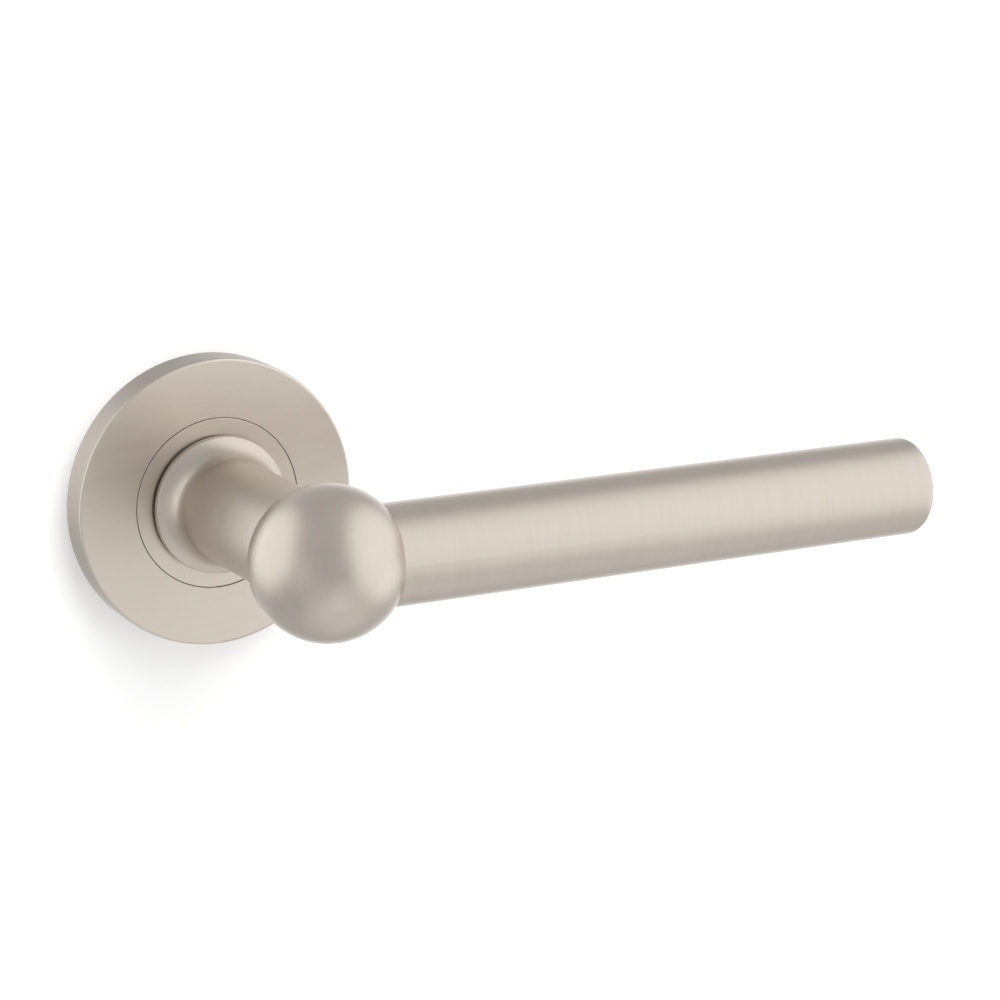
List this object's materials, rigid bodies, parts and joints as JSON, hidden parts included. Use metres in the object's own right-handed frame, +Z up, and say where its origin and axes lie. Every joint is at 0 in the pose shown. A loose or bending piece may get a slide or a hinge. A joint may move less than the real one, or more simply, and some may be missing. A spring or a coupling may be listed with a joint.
{
  "type": "door lever handle",
  "caption": "Satin nickel lever door handle on a slim round rose: a short neck meets a ball, from which a straight round grip runs sideways; sprung, with bolts and square spindle.",
  "frame": {"origin": "on the spindle's axis, in the plane of the door's face that the rose sits on", "axes": "+Y into the door along the spindle, +X along the grip from the ball to its free end, +Z up; the handle stands out of the door towards -Y"},
  "size_m": [0.1428, 0.123, 0.052],
  "materials": {
    "satin_nickel": "satin nickel plate, finely brushed",
    "zinc_casting": "plain die-cast zinc",
    "zinc_plated_steel": "bright zinc plate",
    "spring_steel": "oiled dark spring steel",
    "black_oxide_steel": "black oxide",
    "plain_brass": "turned, unplated",
    "black_nylon": "moulded nylon"
  },
  "bodies": {
    "rose_base": {"mounting_plate": "zinc_casting", "trim_ring": "satin_nickel", "bearing_bush": "black_nylon", "cover_snap_ring": "spring_steel", "stop_pins": "zinc_plated_steel", "return_spring": "spring_steel", "cassette_back_plate": "zinc_plated_steel", "cassette_screws": "zinc_plated_steel", "thrust_washer": "zinc_plated_steel", "fixing_bolts": "zinc_plated_steel"},
    "lever": {"lever_neck": "satin_nickel", "lever_ball": "satin_nickel", "neck_stud": "zinc_plated_steel", "neck_dowels": "zinc_plated_steel", "grip_tube": "satin_nickel", "grip_end_cap": "satin_nickel", "grip_root_plug": "plain_brass", "grip_stud": "zinc_plated_steel", "spindle": "zinc_plated_steel", "spindle_grub_screw": "black_oxide_steel", "spring_driver": "zinc_plated_steel", "wave_washer": "spring_steel", "retaining_circlip": "spring_steel"},
    "cover": {"rose_cover": "satin_nickel"}
  },
  "joints": [
    {"name": "lever_turn", "type": "hinge", "parent": "rose_base", "child": "lever", "pos_m": [0, 0, 0], "axis": [0, 1, 0], "range_deg": [0, 45], "stiffness_Nm_per_rad": 0.72, "springref_deg": -20.05, "deforming": ["return_spring"]},
    {"name": "cover_slide", "type": "slide", "parent": "rose_base", "child": "cover", "axis": [0, -1, 0], "range_m": [0, 0.028]}
  ]
}
